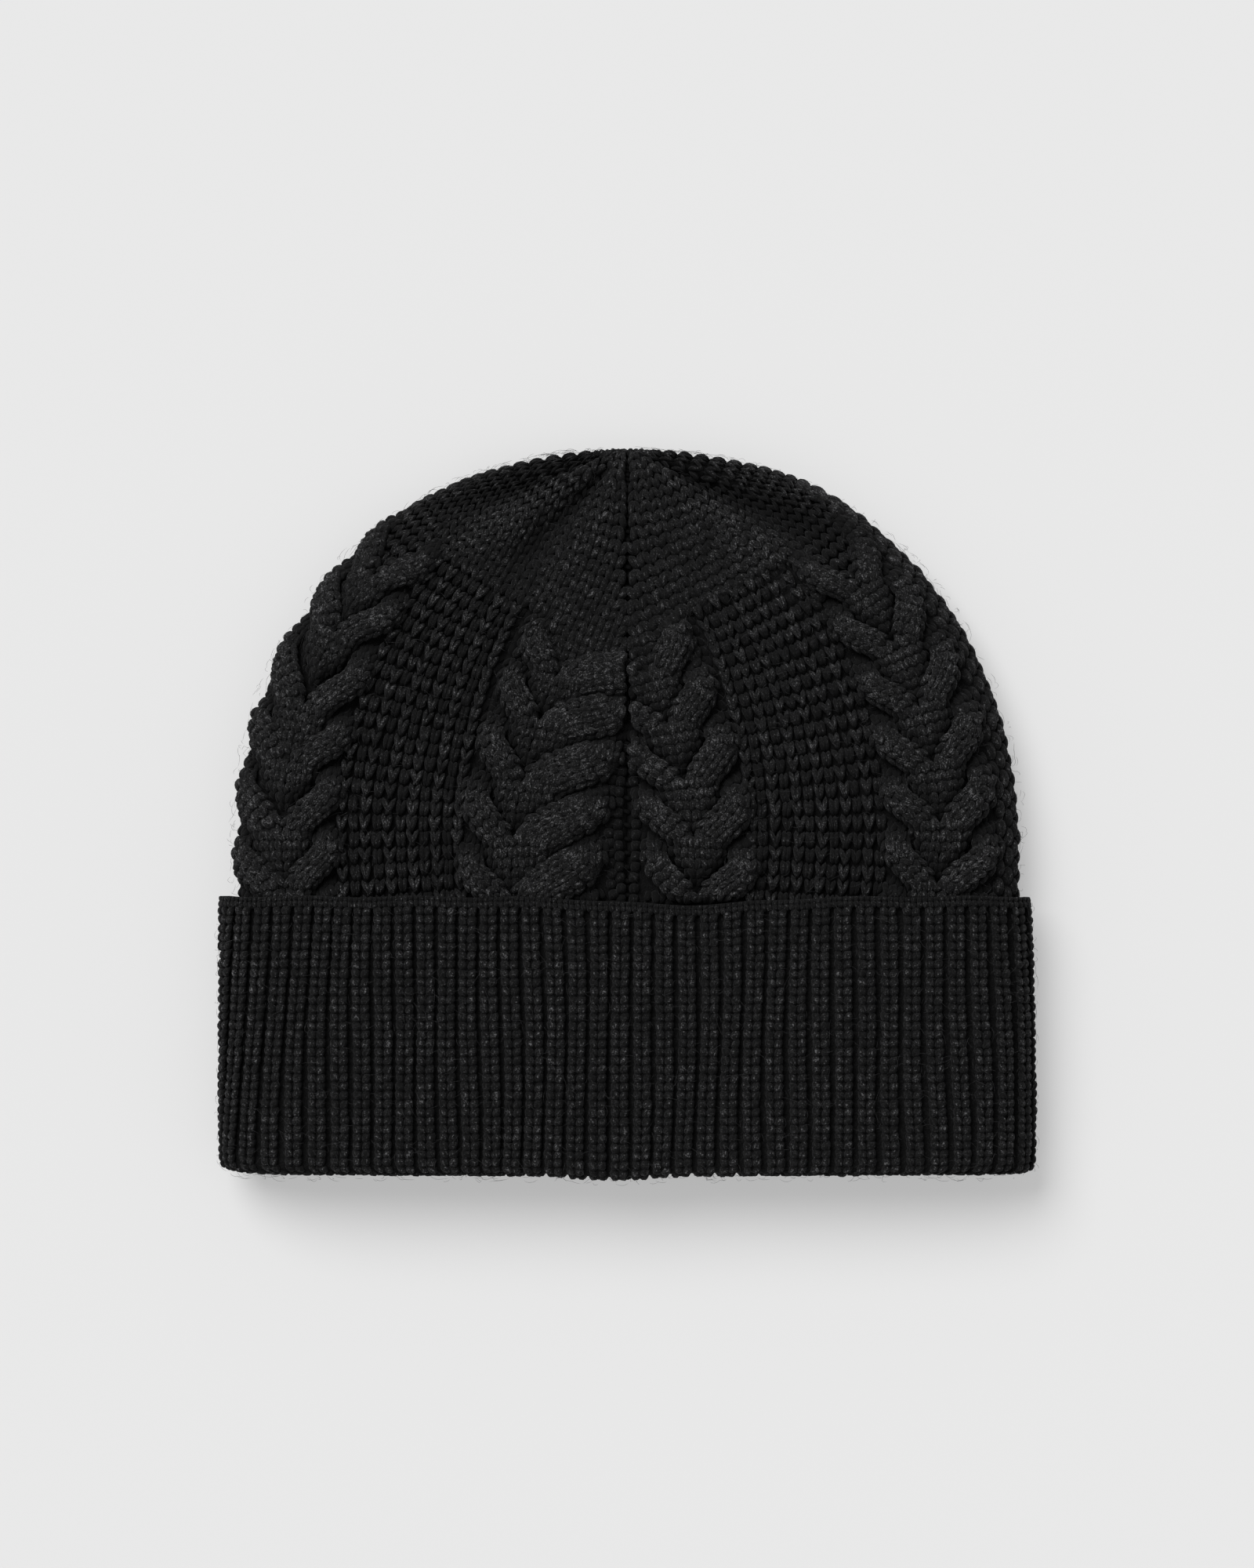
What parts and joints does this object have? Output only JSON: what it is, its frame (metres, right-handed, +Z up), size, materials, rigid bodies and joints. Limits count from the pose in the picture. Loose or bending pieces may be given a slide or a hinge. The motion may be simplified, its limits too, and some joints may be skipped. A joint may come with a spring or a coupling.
{
  "type": "knit beanie",
  "caption": "Cable-knit beanie with a turned-up rib cuff, lying flat, its open end facing -Y and its gathered crown at +Y.",
  "frame": {"origin": "on the surface the hat lies on, under the middle of its bounding box", "axes": "+X across the hat, +Y from the head opening to the crown, +Z up through the flattened thickness"},
  "size_m": [0.22, 0.1965, 0.0249],
  "materials": {
    "cable_knit": "fuzzy charcoal wool yarn, cabled body knit",
    "rib_knit": "fuzzy charcoal wool yarn, 1x1 rib",
    "seam_yarn": "charcoal linking yarn, pulled tight",
    "label_tape": "woven satin tape, blank",
    "label_thread": "fine polyester sewing thread"
  },
  "bodies": {
    "root": {"left_front_panel": "cable_knit", "left_back_panel": "cable_knit", "right_front_panel": "cable_knit", "right_back_panel": "cable_knit", "front_seam": "seam_yarn", "back_seam": "seam_yarn", "crown_gather": "cable_knit", "cuff_outer_front": "rib_knit", "cuff_outer_back": "rib_knit", "cuff_inner_front": "rib_knit", "cuff_inner_back": "rib_knit", "cuff_fold": "rib_knit", "cuff_seam": "seam_yarn", "care_label": "label_tape", "label_stitches": "label_thread"}
  },
  "joints": []
}
